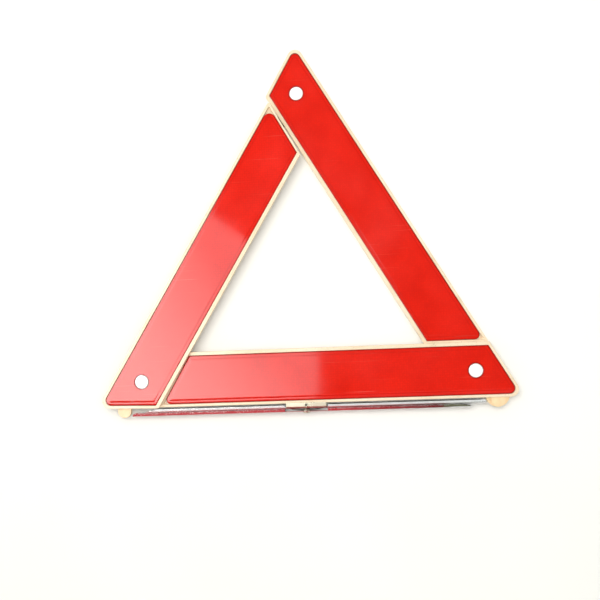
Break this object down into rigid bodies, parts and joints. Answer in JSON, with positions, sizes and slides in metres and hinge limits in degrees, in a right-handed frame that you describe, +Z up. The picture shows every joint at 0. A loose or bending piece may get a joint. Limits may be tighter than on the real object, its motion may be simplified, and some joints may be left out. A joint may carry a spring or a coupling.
{
  "type": "folding warning triangle",
  "caption": "Roadside warning triangle of red reflector arms that fold into a stack on corner pivots, with a snap at the apex and a cross-leg steel stand that swings out.",
  "frame": {"origin": "middle of the resting plane under the whole triangle as it lies flat on its back, legs folded", "axes": "+X along the bottom arm to the right, +Y towards the apex, +Z up out of the red reflecting faces"},
  "size_m": [0.4238, 0.379, 0.015],
  "materials": {
    "cream_plastic": "satin moulded ivory plastic, lightly dulled",
    "red_reflector": "glossy clear-red retroreflector plate",
    "reflector_film": "silvery retroreflecting backing film",
    "white_button": "glossy white domed plastic",
    "nylon": "natural nylon",
    "spring_steel": "dark bright spring steel",
    "plated_steel": "bright zinc-plated sheet steel",
    "leg_steel": "polished nickel-plated steel strip",
    "foot_plastic": "tan ivory plastic"
  },
  "bodies": {
    "bottom_arm": {"bottom_frame": "cream_plastic", "bottom_film": "reflector_film", "bottom_reflector": "red_reflector", "left_button": "white_button", "left_pivot_washer": "nylon", "left_push_nut": "spring_steel", "right_button": "white_button", "right_pivot_washer": "nylon", "right_push_nut": "spring_steel", "stand_bracket": "plated_steel", "bracket_eyelet": "plated_steel", "leg_rivet": "plated_steel", "rivet_bush": "plated_steel", "leg_spring": "spring_steel", "leg_washer": "plated_steel", "left_foot": "foot_plastic", "right_foot": "foot_plastic"},
    "left_arm": {"left_frame": "cream_plastic", "left_film": "reflector_film", "left_reflector": "red_reflector", "apex_latch": "spring_steel", "latch_pins": "plated_steel"},
    "right_arm": {"right_frame": "cream_plastic", "right_film": "reflector_film", "right_reflector": "red_reflector", "apex_button": "white_button"},
    "stand_leg_upper": {"upper_leg": "leg_steel"},
    "stand_leg_lower": {"lower_leg": "leg_steel"}
  },
  "joints": [
    {"name": "left_fold", "type": "hinge", "parent": "bottom_arm", "child": "left_arm", "pos_m": [-0.17008, -0.15204, 0.0102], "axis": [0, 0, 1], "range_deg": [-58.6, 0], "deforming": ["apex_latch"]},
    {"name": "right_fold", "type": "hinge", "parent": "bottom_arm", "child": "right_arm", "pos_m": [0.17054, -0.15204, 0.0051], "axis": [0, 0, 1], "range_deg": [0, 60]},
    {"name": "upper_leg_swing", "type": "hinge", "parent": "bottom_arm", "child": "stand_leg_upper", "pos_m": [-0.00127, -0.18354, 0.0049], "axis": [0, 1, 0], "range_deg": [-70, 0]},
    {"name": "lower_leg_swing", "type": "hinge", "parent": "bottom_arm", "child": "stand_leg_lower", "pos_m": [-0.00127, -0.18354, 0.0049], "axis": [0, 1, 0], "range_deg": [0, 70]}
  ]
}
